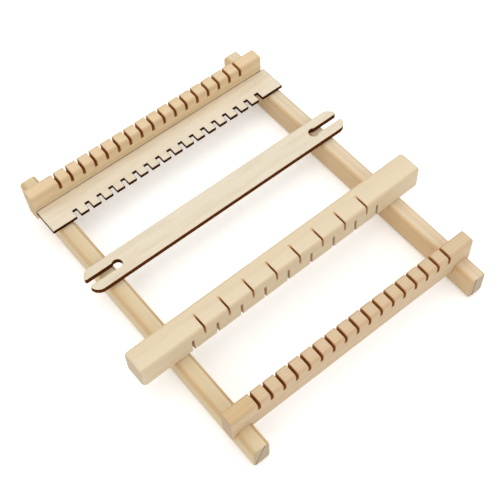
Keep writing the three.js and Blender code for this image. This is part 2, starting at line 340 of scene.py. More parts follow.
def saw_row_tree(name):
    """Cuts a row of equal kerfs, notches or holes with one cutter."""
    inputs = {"Geometry": "Geometry", "Cutter": "Object", "Count": "Int", "First": "Vector", "Step": "Vector",
              "Finish": "Material"}
    w, given = new_tree(name, "GeometryNodeTree", inputs, {"Geometry": "Geometry"})
    line = w.made("GeometryNodeMeshLine",
                  {"Count": given["Count"], "Start Location": given["First"], "Offset": given["Step"]})
    cutter = w.made("GeometryNodeObjectInfo", {"Object": given["Cutter"]}, "Geometry")
    copies = w.made("GeometryNodeInstanceOnPoints", {"Points": line, "Instance": cutter})
    cutters = w.made("GeometryNodeRealizeInstances", {"Geometry": copies})
    cut = w.made("GeometryNodeMeshBoolean", {"Mesh 1": given["Geometry"], "Mesh 2": cutters},
                 operation="DIFFERENCE", solver="EXACT")
    return real_finish(w, given, cut)


def corner_screws_tree(name):
    """Stands one screw at each of the four places where a beam crosses a rail."""
    inputs = {"Geometry": "Geometry", "Across": "Float", "Along": "Float", "Middle": "Vector", "Finish": "Material"}
    w, given = new_tree(name, "GeometryNodeTree", inputs, {"Geometry": "Geometry"})
    grid = w.made("GeometryNodeMeshGrid",
                  {"Size X": given["Across"], "Size Y": given["Along"], "Vertices X": 2, "Vertices Y": 2})
    corners = w.made("GeometryNodeTransform", {"Geometry": grid, "Translation": given["Middle"]})
    copies = w.made("GeometryNodeInstanceOnPoints", {"Points": corners, "Instance": given["Geometry"]})
    return real_finish(w, given, copies)


def add_tree(piece, name, build, values):
    """Puts a tree on a piece, with its inputs set by name through their identifiers."""
    tree = shared_tree(name, build)
    modifier = piece.modifiers.new(name, "NODES")
    modifier.node_group = tree
    for item in tree.interface.items_tree:
        if item.item_type == "SOCKET" and item.in_out == "INPUT" and item.name in values:
            modifier[item.identifier] = values[item.name]


def saw_row(piece, cutter, finish, count=1, first=(0, 0, 0), step=(0, 0, 0)):
    values = {"Cutter": cutter, "Count": count, "First": first, "Step": step, "Finish": finish}
    add_tree(piece, "saw_row", saw_row_tree, values)


def break_edges(piece, width):
    """Takes the sharpness off every edge that a saw left."""
    bevel = piece.modifiers.new("broken_edges", "BEVEL")
    bevel.width = width
    bevel.segments = 2
    bevel.limit_method = "ANGLE"
    bevel.angle_limit = BROKEN_FROM


def settle(piece, cutters=(), place=None):
    """Turns a piece and its modifiers into one plain mesh, and takes away the cutters."""
    graph = bpy.context.evaluated_depsgraph_get()
    graph.update()
    mesh = bpy.data.meshes.new_from_object(piece.evaluated_get(graph), preserve_all_data_layers=True, depsgraph=graph)
    piece.modifiers.clear()
    piece.data = mesh
    for cutter in cutters:
        bpy.data.objects.remove(cutter)
    if place:
        mesh.transform(place)
    for face in mesh.polygons:
        face.use_smooth = True
    mesh.set_sharp_from_angle(angle=SHARP_FROM)
    if len(mesh.polygons) < FEWEST_FACES:
        raise RuntimeError(f"{piece.name} came out empty")


def put_finish(piece, material):
    piece.data.materials.clear()
    piece.data.materials.append(material)


# Finishes

class Wiring:
    """Adds nodes to one tree and joins them up."""

    def __init__(self, tree):
        self.tree = tree

    def node(self, kind, **settings):
        made = self.tree.nodes.new(kind)
        for key, value in settings.items():
            setattr(made, key, value)
        return made

    def feed(self, socket, value):
        if isinstance(value, bpy.types.NodeSocket):
            self.tree.links.new(value, socket)
        else:
            socket.default_value = value

    def feed_all(self, sockets, values):
        for key, value in values.items():
            self.feed(sockets[key], value)

    def made(self, kind, inputs, output=0, **settings):
        """One output of a new node whose inputs are fed by name or number."""
        made = self.node(kind, **settings)
        self.feed_all(made.inputs, inputs)
        return made.outputs[output]

    def calc(self, operation, *values, clamp=False):
        return self.made("ShaderNodeMath", dict(enumerate(values)), operation=operation, use_clamp=clamp)

    plus = partialmethod(calc, "ADD")
    minus = partialmethod(calc, "SUBTRACT")
    times = partialmethod(calc, "MULTIPLY")
    over = partialmethod(calc, "DIVIDE")
    least = partialmethod(calc, "MINIMUM")
    most = partialmethod(calc, "MAXIMUM")
    abs = partialmethod(calc, "ABSOLUTE")
    scaled = partialmethod(calc, "MULTIPLY_ADD")

    def around(self, value, swing, base=1.0):
        """base, with swing times as much more or less as value is off 0.5."""
        return self.scaled(self.minus(value, 0.5), swing, base)

    def diagonal(self, first, second):
        return self.calc("SQRT", self.plus(self.times(first, first), self.times(second, second)))

    def vector(self, operation, first, second):
        inputs = {0: first, "Scale" if operation == "SCALE" else 1: second}
        return self.made("ShaderNodeVectorMath", inputs, operation=operation)

    def split(self, vector):
        made = self.node("ShaderNodeSeparateXYZ")
        self.feed(made.inputs[0], vector)
        return made.outputs

    def combine(self, *parts):
        return self.made("ShaderNodeCombineXYZ", dict(enumerate(parts)))

    def ramp(self, value, low, high):
        """0 at low to 1 at high, with soft shoulders. low may be above high."""
        inputs = {"Value": value, "From Min": low, "From Max": high}
        return self.made("ShaderNodeMapRange", inputs, interpolation_type="SMOOTHSTEP")

    def noise(self, place, stretch, detail=2.0, rough=0.5):
        place = self.vector("MULTIPLY", place, stretch)
        return self.made("ShaderNodeTexNoise", {"Vector": place, "Scale": 1.0, "Detail": detail, "Roughness": rough})

    def mix(self, factor, first, second, blend="MIX"):
        return self.made("ShaderNodeMix", {0: factor, 6: first, 7: second}, 2, data_type="RGBA", blend_type=blend)

    def tinted(self, shade, tint, factor=1.0):
        return self.mix(factor, shade, tint, "MULTIPLY")

    def grey(self, value):
        return self.made("ShaderNodeCombineColor", {0: value, 1: value, 2: value})


def grown_wood_tree(name):
    """Solid wood with its grain along X: growth rings about a pith, streaks, fibres and pores."""
    inputs = {"Place": "Vector", "Pith": "Vector"}
    inputs.update(dict.fromkeys(("Ring Width", "Heart", "Sway", "Lean", "Contrast", "Streaks", "Seed", "End", "Edge",
                                 "Kerf", "Stain"), "Float"))
    inputs.update(dict.fromkeys(("Pale", "Late", "Streak", "Rim Tint", "Kerf Colour"), "Color"))
    outputs = {"Colour": "Color", "Height": "Float", "Roughness": "Float"}
    w, given = new_tree(name, "ShaderNodeTree", inputs, outputs)
    place = w.vector("SCALE", given["Place"], TO_MM)
    along = w.split(place)[0]
    seed = w.combine(w.times(given["Seed"], 61.0), w.times(given["Seed"], 17.0), given["Seed"])
    shifted = w.vector("ADD", place, seed)

    _, side, up = w.split(w.vector("SUBTRACT", place, given["Pith"]))
    radius = w.around(w.noise(shifted, (0.011, 0.05, 0.05)), given["Sway"], w.diagonal(side, up))
    radius = w.scaled(along, given["Lean"], radius)
    radius = w.around(w.noise(shifted, (0.05, 0.5, 0.5)), 0.5, radius)
    from_heart = w.minus(radius, given["Heart"])
    heart = w.ramp(from_heart, 0.5, -0.5)
    heart_line = w.ramp(w.abs(w.plus(from_heart, 0.2)), 0.85, 0.15)
    years = w.over(radius, given["Ring Width"])
    season = w.calc("FRACT", years)
    late = w.times(w.ramp(season, 0.30, 0.90), w.ramp(season, 1.0, 0.92))
    weather = w.made("ShaderNodeTexWhiteNoise", {"W": w.plus(w.calc("FLOOR", years), given["Seed"])},
                     noise_dimensions="1D")
    ring = w.times(late, w.scaled(weather, 0.6, 0.45))
    ring = w.times(ring, w.scaled(w.noise(shifted, (0.02, 0.3, 0.3)), 0.6, 0.7))

    broad = w.noise(shifted, (0.006, 0.14, 0.14), 3.0)
    fibre = w.noise(shifted, (0.05, 3.2, 3.2), 3.0, 0.6)
    pore = w.ramp(w.noise(shifted, (0.22, 6.0, 6.0), 1.0), 0.64, 0.78)

    shade = w.mix(w.times(ring, given["Contrast"], clamp=True), given["Pale"], given["Late"])
    shade = w.mix(w.times(w.ramp(broad, 0.48, 0.72), given["Streaks"]), shade, given["Streak"])
    shade = w.tinted(shade, w.mix(w.ramp(from_heart, 1.2, -1.2), given["Rim Tint"], WHITE))
    shade = w.tinted(shade, STAIN, given["Stain"])
    light = w.times(w.around(fibre, 0.16), w.scaled(pore, -0.10, 1.0))
    shade = w.tinted(shade, w.grey(w.times(light, w.around(broad, 0.10))))

    grain_end = w.mix(heart, w.tinted(shade, END_GRAIN), w.tinted(given["Pale"], HEART_GRAIN))
    grain_end = w.mix(w.times(heart_line, 0.85), grain_end, HEART_LINE)
    speck = w.noise(shifted, (1.5, 4.0, 4.0))
    grain_end = w.tinted(grain_end, w.grey(w.scaled(speck, 0.34, 0.83)))
    shade = w.mix(given["End"], shade, grain_end)
    # Noisy patches of a darker streak tone on the rounded long edges: partly wear from handling, partly painted shade
    # that softens the roundings.
    wear_and_shade = w.times(given["Edge"], w.scaled(w.noise(shifted, (0.02, 0.2, 0.2)), 0.7, 0.15))
    shade = w.mix(wear_and_shade, shade, w.tinted(given["Streak"], WORN_AND_SHADED_EDGE))
    # Deep in a cut the kerf colour darkens further in noisy patches: painted shade.
    deep_kerf_shade = w.scaled(w.noise(shifted, (0.9, 0.9, 0.5), 3.0), 0.3, given["Kerf"])
    char_and_shade = w.tinted(given["Kerf Colour"], KERF_DEPTH_SHADE, w.ramp(deep_kerf_shade, 0.70, 1.15))
    shade = w.mix(w.ramp(given["Kerf"], 0.0, 0.6), shade, char_and_shade)

    height = w.scaled(fibre, 0.6, w.times(ring, 0.25))
    height = w.scaled(pore, -0.5, height)
    height = w.scaled(w.times(speck, given["End"]), 0.7, height)
    rough = w.scaled(fibre, 0.22, 0.46)
    rough = w.scaled(given["Edge"], -0.06, rough)
    rough = w.scaled(given["End"], 0.12, rough)
    rough = w.scaled(given["Kerf"], 0.25, rough, clamp=True)
    w.feed_all(w.node("NodeGroupOutput").inputs, {"Colour": shade, "Height": height, "Roughness": rough})
    return w.tree


def new_material(name):
    """A new material, its wiring and the coordinates that it can read."""
    old = bpy.data.materials.get(name)
    if old:
        bpy.data.materials.remove(old)
    material = bpy.data.materials.new(name)
    material.use_nodes = True
    w = Wiring(material.node_tree)
    return material, w, w.node("ShaderNodeTexCoord").outputs


def surface(w, shade, rough, height, depth, strength=0.5):
    """Joins colour, roughness and relief to the shader that every new material starts with."""
    shader = w.tree.nodes["Principled BSDF"]
    bump = w.made("ShaderNodeBump", {"Distance": depth, "Strength": strength, "Height": height})
    w.feed_all(shader.inputs, {"Base Color": shade, "Roughness": rough, "Normal": bump})
    return shader


def row_distance(w, place, first, pitch, count):
    """How far a point is from the middle of the nearest cut in a row."""
    index = w.calc("ROUND", w.over(w.minus(place, first), pitch))
    index = w.least(w.most(index, 0.0), count - 1.0)
    return w.abs(w.minus(place, w.scaled(index, pitch, first)))


def from_cut(w, distance, half, inside, depth):
    """How much a point takes a cut's raw wall colour: its walls darken with depth as painted shade, and a faint narrow
    band lies beside it. Everything is in metres, and inside is 1 where the cut reaches and 0 elsewhere."""
    # Painted shade: a cut's walls take more of the kerf colour the deeper they lie.
    kerf_and_shade = w.scaled(w.ramp(depth, 0.0, 3.6 * MM), 0.68, 0.32)
    wall = w.times(w.ramp(distance, half + 0.22 * MM, half + 0.08 * MM), kerf_and_shade)
    halo = w.times(w.ramp(distance, half + 0.9 * MM, half + 0.1 * MM), 0.10)
    return w.times(w.most(wall, halo), inside)


def stick_finish(name, look, kerf_colour, centre, section, radius, axis, turn=0.0, kerfs=None, stain=None):
    """The finish of one stick. look gives inputs of the grown wood, lengths in mm, and section is the width and
    height. kerfs(w, x, y, z) gives where its cuts are, from a place about its own middle, and stain where a stain on
    its top fades in along it."""
    material, w, given = new_material(name)
    place = w.made("ShaderNodeMapping", {"Vector": given["Object"], "Location": centre, "Rotation": (0, 0, turn)},
                   vector_type="TEXTURE")
    x, y, z = w.split(place)
    nx, ny, _ = w.split(given["Normal"])
    along, across, facing = (x, y, nx) if axis == "X" else (y, x, ny)
    wood = w.node("ShaderNodeGroup", node_tree=shared_tree("grown_wood", grown_wood_tree))
    w.feed(wood.inputs["Place"], w.combine(along, across, z))
    for key, value in {"Heart": -9.0, "Rim Tint": tone(255, 255, 255), "Kerf Colour": kerf_colour, **look}.items():
        w.feed(wood.inputs[key], linear(value) if wood.inputs[key].type == "RGBA" else value)
    w.feed(wood.inputs["End"], w.ramp(w.abs(facing), 0.55, 0.95))
    beyond = [w.minus(w.abs(value), size / 2 - radius) for value, size in zip((across, z), section)]
    w.feed(wood.inputs["Edge"], w.ramp(w.least(*beyond), 0.03 * radius, 0.28 * radius))
    if kerfs:
        w.feed(wood.inputs["Kerf"], kerfs(w, x, y, z))
    if stain:
        top = w.ramp(z, section[1] / 2 - radius, section[1] / 2 - 0.4 * radius)
        w.feed(wood.inputs["Stain"], w.times(w.ramp(along, *stain), top))
    shader = surface(w, wood.outputs["Colour"], wood.outputs["Roughness"], wood.outputs["Height"], GRAIN_RELIEF)
    shader.inputs["Specular IOR Level"].default_value = 0.3
    return material


def plywood_finish(name, finish, centre, size, seed, char_and_shade, edge_distance):
    """Birch plywood that a hot cut has singed: veneer on its faces, burnt plies on its edges. char is how far they
    are burnt, and edge_distance(w, x, y) gives how far a point of the face is from the nearest edge."""
    material, w, given = new_material(name)
    place = w.made("ShaderNodeMapping", {"Vector": given["Object"], "Location": centre}, vector_type="TEXTURE")
    x, y, z = w.split(place)
    grain = w.vector("ADD", w.vector("SCALE", place, TO_MM), (seed * 31.0, seed * 7.0, seed))
    figure = w.noise(grain, (0.022, 0.20, 0.20), 3.0)
    fibre = w.noise(grain, (0.06, 2.6, 2.6), 3.0, 0.6)
    pore = w.ramp(w.noise(grain, (0.30, 5.0, 5.0), 1.0), 0.62, 0.74)
    cloud = w.noise(grain, (0.03, 0.06, 0.06))
    face = w.mix(w.times(w.ramp(figure, 0.40, 0.75), 0.7), linear(finish.veneer), linear(finish.veneer_late))
    light = w.times(w.around(fibre, 0.12), w.around(cloud, 0.12))
    face = w.tinted(face, w.grey(w.times(light, w.scaled(pore, -0.16, 1.0))))

    distance = w.times(edge_distance(w, x, y), TO_MM)
    distance = w.around(w.noise(grain, (0.25, 0.25, 0.25), 3.0), 0.7, distance)
    face = w.mix(w.times(w.ramp(distance, 1.2, 0.1), 0.06), face, SINGED)
    face = w.mix(w.times(w.ramp(distance, 0.45, 0.10), char_and_shade * 0.9 + 0.01), face, CHARRED)

    layer = w.abs(w.over(z, size[2] / 3))
    glue = w.ramp(w.abs(w.minus(layer, 0.5)), 0.10, 0.02)
    stripe = w.noise(grain, (1.7, 1.7, 0.25), 3.0, 0.65)
    plies = w.mix(w.ramp(layer, 0.56, 0.46), linear(finish.burnt), CORE_PLY)
    plies = w.mix(w.times(glue, 0.7), plies, GLUE_LINE)
    plies = w.tinted(plies, PALE_FIBRES, w.ramp(stripe, 0.35, 0.75))
    plies = w.tinted(plies, CHARRED_PLIES, char_and_shade)
    on_edge = w.ramp(w.abs(z), size[2] / 2 - 0.01 * MM, size[2] / 2 - 0.05 * MM)
    height = w.scaled(fibre, 0.5, w.times(w.times(stripe, on_edge), 1.2))
    rough = w.scaled(on_edge, 0.18, w.scaled(fibre, 0.18, 0.50))
    shader = surface(w, w.mix(on_edge, face, plies), rough, height, GRAIN_RELIEF)
    w.feed(shader.inputs["Specular IOR Level"], w.scaled(on_edge, -0.2, 0.2))
    return material


def steel_finish(name, finish):
    """Bright zinc with dull blotches and fine scratches."""
    material, w, given = new_material(name)
    place = w.vector("SCALE", given["Object"], TO_MM)
    blotch = w.noise(place, (0.5, 0.5, 0.5), 4.0)
    scratch = w.noise(place, (9.0, 1.2, 9.0))
    shade = w.tinted(linear(finish.steel), DULL_ZINC, w.ramp(blotch, 0.35, 0.70))
    rough = w.scaled(blotch, 0.25, w.scaled(scratch, 0.12, 0.18))
    shader = surface(w, shade, rough, w.scaled(scratch, 0.5, blotch), ZINC_RELIEF, 0.3)
    shader.inputs["Metallic"].default_value = 1.0
    return material


# Operators

class LoomOperator:
    """What every operator of the loom shares."""

    bl_options = {"REGISTER", "UNDO"}

    def execute(self, context):
        sizes = context.scene.loom_sizes
        self.build(sizes, context.scene.loom_finish, LoomPlaces(sizes))
        return {"FINISHED"}


def row_start(middle, pitch, count):
    return middle - (count - 1) / 2 * pitch


def screw_hole(name, sizes):
    bore = sizes.screw_radius + sizes.gap
    mouth = sizes.head_radius + sizes.gap
    top = sizes.head_sunk + sizes.screw_length + sizes.gap
    profile = [(0, -RUNOUT), (mouth, -RUNOUT), (mouth, sizes.head_sunk), (bore, sizes.head_sunk + sizes.head_height),
               (bore, top), (0, top)]
    return turned(name, profile)


class LOOM_OT_rails(LoomOperator, bpy.types.Operator):
    """Builds the two rails with their lap housings and screw holes"""

    bl_idname = "loom.rails"
    bl_label = "Rails"

    def build(self, sizes, finish, places):
        left = {"Pale": finish.left_rail, "Late": finish.left_rail_late, "Streak": tone(214, 178, 128),
                "Pith": (0.0, 135.7, -59.0), "Ring Width": 13.58, "Sway": 1.4, "Lean": 0.0, "Seed": 3.0,
                "Contrast": finish.rings * 1.2, "Streaks": 0.45, "Heart": 150.0, "Rim Tint": tone(252, 246, 234)}
        right = {"Pale": finish.right_rail, "Late": finish.right_rail_late, "Streak": tone(216, 180, 134),
                 "Pith": (0.0, 120.0, 0.0), "Ring Width": 6.4, "Sway": 2.0, "Lean": -0.003, "Seed": 8.0,
                 "Contrast": finish.rings * 0.5, "Streaks": 0.35, "Heart": 123.7, "Rim Tint": tone(251, 243, 228)}
        section = (sizes.rail_width, sizes.rail_height)
        half = sizes.beam_depth / 2 + sizes.lap_play
        reach = sizes.rail_width / 2 + RUNOUT
        for side, name, look in ((-1, "left", left), (1, "right", right)):
            x = sizes.middle + side * places.rail_x
            centre = (x, 0, sizes.rail_height / 2)
            material = stick_finish(f"{name}_rail_pine", look, finish.kerf, centre, section, sizes.rail_round, "Y")
            rail = stick(f"{name}_rail_wood", (*section, sizes.rail_length), sizes.rail_round, sizes.rail_ease, "Y")
            rail.data.transform(Matrix.Translation(centre))
            lap = block("lap_cutter", (-reach, -half, places.lap_z), (reach, half, sizes.rail_height + RUNOUT))
            hole = screw_hole("rail_drill", sizes)
            step = (0, places.back_y - places.front_y, 0)
            for cutter in (lap, hole):
                saw_row(rail, cutter, material, 2, (x, places.front_y, 0), step)
            break_edges(rail, PLANED_EDGE)
            settle(rail, (lap, hole))
            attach(rail, "frame")
            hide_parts(f"{name}_rail")


class LOOM_OT_beams(LoomOperator, bpy.types.Operator):
    """Builds the two warp beams with their kerfs"""

    bl_idname = "loom.beams"
    bl_label = "Warp beams"

    def build(self, sizes, finish, places):
        front = {"Pale": finish.front_beam, "Late": finish.front_beam_late, "Streak": tone(212, 176, 138),
                 "Pith": (0.0, -60.0, 10.0), "Ring Width": 1.9, "Sway": 4.0, "Lean": 0.002, "Seed": 13.0,
                 "Contrast": finish.rings * 0.7, "Streaks": 0.35}
        back = {"Pale": finish.back_beam, "Late": finish.back_beam_late, "Streak": tone(218, 184, 140),
                "Pith": (0.0, 22.0, 66.0), "Ring Width": 8.0, "Sway": 5.0, "Lean": -0.002, "Seed": 21.0,
                "Contrast": finish.rings * 0.5, "Streaks": 0.30}
        middle_z = places.beam_bottom + sizes.beam_height / 2
        section = (sizes.beam_depth, sizes.beam_height)
        half, reach = sizes.kerf_width / 2, sizes.beam_depth / 2 + RUNOUT
        for name, look, beam_y, shift, row_shift, stain in (
                ("front", front, places.front_y, 0, 0, (-80 * MM, -96 * MM)),
                ("back", back, places.back_y, sizes.back_shift, sizes.back_row_shift, None)):
            centre = (sizes.middle + shift, beam_y, middle_z)
            first = row_start(sizes.middle + row_shift, sizes.warp_pitch, sizes.warp_kerfs)

            def kerfs(w, x, y, z, start=first - centre[0]):
                distance = row_distance(w, x, start, sizes.warp_pitch, sizes.warp_kerfs)
                floor = sizes.beam_height / 2 - sizes.kerf_depth
                inside = w.ramp(z, floor - 0.5 * MM, floor - 0.1 * MM)
                return from_cut(w, distance, half, inside, w.minus(sizes.beam_height / 2, z))

            material = stick_finish(f"{name}_beam_pine", look, finish.kerf, centre, section, sizes.beam_round, "X",
                                    kerfs=kerfs, stain=stain)
            beam = stick(f"{name}_beam_wood", (*section, sizes.beam_length), sizes.beam_round, sizes.rail_ease, "X")
            beam.data.transform(Matrix.Translation(centre))
            saw = block("warp_saw", (-half, -reach, places.beam_top - sizes.kerf_depth),
                        (half, reach, places.beam_top + RUNOUT))
            hole = screw_hole("beam_drill", sizes)
            saw_row(beam, saw, material, sizes.warp_kerfs, (first, beam_y, 0), (sizes.warp_pitch, 0, 0))
            saw_row(beam, hole, material, 2, (sizes.middle - places.rail_x, beam_y, 0), (2 * places.rail_x, 0, 0))
            break_edges(beam, PLANED_EDGE)
            settle(beam, (saw, hole))
            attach(beam, "frame")
            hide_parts(f"{name}_beam")


def slanted_saw(name, sizes, width, rise, side):
    """The wedge that a slanted cut takes out of a front edge. side is 1 for the upper edge and -1 for the lower."""
    front, edge = -sizes.bar_depth / 2, side * sizes.bar_height / 2
    inner = Vector((front + sizes.bar_kerf_reach, edge))
    outer = Vector((front, edge - side * rise))
    run = (inner - outer).normalized() * 2 * RUNOUT
    inner, outer = inner + run, outer - run
    outline = [inner, Vector((outer.x, inner.y)), outer]
    return prism(name, outline, -width / 2, width / 2, "X")


class LOOM_OT_heddle_bar(LoomOperator, bpy.types.Operator):
    """Builds the heddle bar with its two rows of slanted kerfs"""

    bl_idname = "loom.heddle_bar"
    bl_label = "Heddle bar"

    def build(self, sizes, finish, places):
        look = {"Pale": finish.heddle_bar, "Late": finish.heddle_bar_late, "Streak": tone(224, 201, 164),
                "Pith": (0.0, 26.0, -70.0), "Ring Width": 9.5, "Sway": 4.0, "Lean": 0.002, "Seed": 34.0,
                "Contrast": finish.rings * 0.35, "Streaks": 0.10}
        pitch, steps = sizes.bar_pitch, sizes.bar_lower_kerfs - 1
        # darkening stretches the depth over which the kerfs' painted shade deepens, and the lower row takes less of
        # the kerf colour and its painted shade.
        darkening, lower_kerf_and_shade = 1.4, 0.35
        rows = (("upper", steps, sizes.bar_upper_width, sizes.bar_upper_drop, 1),
                ("lower", steps + 1, sizes.bar_lower_width, sizes.bar_lower_rise, -1))

        def kerfs(w, x, y, z):
            kerf_and_shade_rows = []
            for _, count, width, rise, side in rows:
                distance = row_distance(w, x, row_start(0, pitch, count), pitch, count)
                back = w.plus(y, sizes.bar_depth / 2)
                level = w.minus(sizes.bar_height / 2, w.times(z, float(side)))
                share = w.plus(w.over(back, sizes.bar_kerf_reach), w.over(level, rise))
                depth = w.times(w.least(back, level), darkening)
                kerf_and_shade = from_cut(w, distance, width / 2, w.ramp(share, 1.08, 1.02), depth)
                kerf_and_shade_rows.append(kerf_and_shade if side > 0 else w.times(kerf_and_shade, lower_kerf_and_shade))
            return w.most(*kerf_and_shade_rows)

        centre = (sizes.middle + sizes.bar_shift, places.bar_y, places.rest_z + sizes.bar_height / 2)
        section = (sizes.bar_depth, sizes.bar_height)
        material = stick_finish("heddle_bar_limewood", look, finish.kerf, centre, section, sizes.bar_round, "X",
                                sizes.bar_yaw, kerfs)
        bar = stick("heddle_bar_wood", (*section, sizes.bar_length), sizes.bar_round, sizes.bar_ease, "X")
        saws = []
        for name, count, width, rise, side in rows:
            saw = slanted_saw(f"{name}_saw", sizes, width, rise, side)
            saw_row(bar, saw, material, count, (row_start(0, pitch, count), 0, 0), (pitch, 0, 0))
            saws.append(saw)
        break_edges(bar, SANDED_EDGE)
        settle(bar, saws, Matrix.Translation(centre) @ Matrix.Rotation(sizes.bar_yaw, 4, "Z"))
        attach(bar, "heddle")
        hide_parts("heddle_bar")


class LOOM_OT_comb(LoomOperator, bpy.types.Operator):
    """Builds the plywood comb with its row of notches"""

    bl_idname = "loom.comb"
    bl_label = "Comb"

    def build(self, sizes, finish, places):
        centre = (sizes.middle + sizes.comb_shift, (places.comb_front + places.comb_back) / 2,
                  places.rest_z + sizes.comb_ply / 2)
        size = (sizes.comb_length, sizes.comb_width, sizes.comb_ply)
        first = row_start(sizes.middle + sizes.notch_row_shift, sizes.notch_pitch, sizes.warp_kerfs)
        half = sizes.notch_width / 2

        def edge_distance(w, x, y):
            outline = w.least(w.minus(size[0] / 2, w.abs(x)), w.minus(size[1] / 2, w.abs(y)))
            beside = row_distance(w, x, first - centre[0], sizes.notch_pitch, sizes.warp_kerfs)
            beside = w.most(w.minus(beside, half), 0.0)
            behind = w.most(w.minus(y, sizes.notch_depth - size[1] / 2), 0.0)
            return w.least(outline, w.diagonal(beside, behind))

        material = plywood_finish("comb_birch", finish, centre, size, seed=5.0, char_and_shade=0.85, edge_distance=edge_distance)
        low = [place - span / 2 for place, span in zip(centre, size)]
        high = [place + span / 2 for place, span in zip(centre, size)]
        comb = block("comb_plywood", low, high)
        cutter = block("notch_cutter", (-half, -RUNOUT, low[2] - RUNOUT), (half, sizes.notch_depth, high[2] + RUNOUT))
        saw_row(comb, cutter, material, sizes.warp_kerfs, (first, low[1], 0), (sizes.notch_pitch, 0, 0))
        break_edges(comb, PLYWOOD_EDGE)
        settle(comb, (cutter,))
        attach(comb, "beater")
        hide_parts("comb")


def arc(centre, radius, start, end, steps):
    points = []
    for i in range(steps + 1):
        angle = start + (end - start) * i / steps
        points.append((centre[0] + radius * math.cos(angle), centre[1] + radius * math.sin(angle)))
    return points


def shuttle_outline(sizes):
    """Round both ends of the shuttle: two prongs with rounded tips beside a slot that ends in a round hole."""
    edge, slot = sizes.shuttle_width / 2, sizes.slot_width / 2
    tip = edge - slot
    centre = sizes.shuttle_length / 2 - tip
    hole = sizes.shuttle_length / 2 - sizes.hole_inset
    reach = math.asin(slot / sizes.hole_radius)
    soft = sizes.prong_round
    along = math.sqrt((tip - soft) ** 2 - soft ** 2)
    turn = math.atan2(soft, along)
    half = arc((centre, -slot), tip, -math.pi / 2, -turn, 13)
    half += arc((centre + along, -slot - soft), soft, -turn, math.pi / 2, 6)[1:]
    half += arc((hole, 0), sizes.hole_radius, -reach, reach - 2 * math.pi, 40)
    half += arc((centre + along, slot + soft), soft, -math.pi / 2, turn, 6)
    half += arc((centre, slot), tip, turn, math.pi / 2, 13)[1:]
    return half + [(-x, -y) for x, y in half]


class LOOM_OT_shuttle(LoomOperator, bpy.types.Operator):
    """Builds the plywood stick shuttle with its two forked ends"""

    bl_idname = "loom.shuttle"
    bl_label = "Shuttle"

    def build(self, sizes, finish, places):
        centre = (places.shuttle_x, places.shuttle_y, places.rest_z + sizes.shuttle_ply / 2)
        size = (sizes.shuttle_length, sizes.shuttle_width, sizes.shuttle_ply)
        hole = sizes.shuttle_length / 2 - sizes.hole_inset

        def edge_distance(w, x, y):
            from_middle, off_line = w.abs(x), w.abs(y)
            outline = w.least(w.minus(size[1] / 2, off_line), w.minus(size[0] / 2, from_middle))
            to_hole = w.minus(from_middle, hole)
            ring = w.minus(w.diagonal(to_hole, y), sizes.hole_radius)
            slot = w.plus(w.minus(off_line, sizes.slot_width / 2), w.calc("LESS_THAN", to_hole, 0.0))
            return w.most(w.least(outline, w.least(ring, slot)), 0.0)

        material = plywood_finish("shuttle_birch", finish, centre, size, seed=11.0, char_and_shade=0.25,
                                  edge_distance=edge_distance)
        shuttle = prism("shuttle_plywood", shuttle_outline(sizes), -size[2] / 2, size[2] / 2)
        put_finish(shuttle, material)
        break_edges(shuttle, PLYWOOD_EDGE)
        settle(shuttle, place=Matrix.Translation(centre))
        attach(shuttle, "weft_carrier")
        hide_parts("shuttle")


def screw_shape(name, sizes):
    """A countersunk wood screw on its head: a plain neck, a thread that winds up to a point, and rounded crests."""
    columns, rise, blunt = 28, 0.15 * MM, 0.2 * MM
    root_share, crest_share, crest_width = 0.66, 0.30, 0.28
    rim_inset, rim_low, rim_high = 0.15 * MM, 0.12 * MM, 0.30 * MM
    neck_length, neck_inset, neck_rise = 5 * MM, 0.25 * MM, 0.3 * MM
    top = sizes.head_sunk + sizes.screw_length
    neck = sizes.head_sunk + sizes.head_height
    thread = neck + neck_length
    levels = [(sizes.head_radius - rim_inset, sizes.head_sunk),
              (sizes.head_radius, sizes.head_sunk + rim_low),
              (sizes.head_radius, sizes.head_sunk + rim_high),
              (sizes.screw_radius - 0.1 * MM, neck)]
    level = neck + neck_rise
    while level < top - blunt:
        levels.append((sizes.screw_radius, level))
        level += rise
    rings = []
    for radius, level in levels:
        taper = min(1.0, (top - level) / sizes.screw_tip)
        ring = []
        for i in range(columns):
            if level > thread:
                turn = (level / sizes.screw_pitch - i / columns) % 1.0
                crest = max(0.0, 1 - abs(turn - 0.5) / crest_width)
                reach = radius * (root_share + crest_share * crest) * taper
            elif level > neck:
                reach = (radius - neck_inset) * taper
            else:
                reach = radius
            ring.append(circle_point(reach, 2 * math.pi * i / columns, level))
        rings.append(ring)
    return tube(name, rings)


class LOOM_OT_screws(LoomOperator, bpy.types.Operator):
    """Builds the four countersunk screws that hold the beams down"""

    bl_idname = "loom.screws"
    bl_label = "Screws"

    def build(self, sizes, finish, places):
        material = steel_finish("screw_zinc", finish)
        screws = screw_shape("beam_screws", sizes)
        span, slit = sizes.drive_span / 2, sizes.drive_width / 2
        outline = [(span, -slit), (span, slit), (slit, slit), (slit, span), (-slit, span), (-slit, slit),
                   (-span, slit), (-span, -slit), (-slit, -slit), (-slit, -span), (slit, -span), (slit, -slit)]
        drive = prism("cross_drive", outline, sizes.head_sunk - RUNOUT, sizes.head_sunk + sizes.drive_depth)
        saw_row(screws, drive, material)
        middle = (sizes.middle, (places.front_y + places.back_y) / 2, 0)
        values = {"Across": 2 * places.rail_x, "Along": places.back_y - places.front_y, "Middle": middle,
                  "Finish": material}
        add_tree(screws, "corner_screws", corner_screws_tree, values)
        settle(screws, (drive,))
        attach(screws, "frame")
        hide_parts(*(f"{end}_{hand}_screw" for end in ("front", "back") for hand in ("left", "right")))


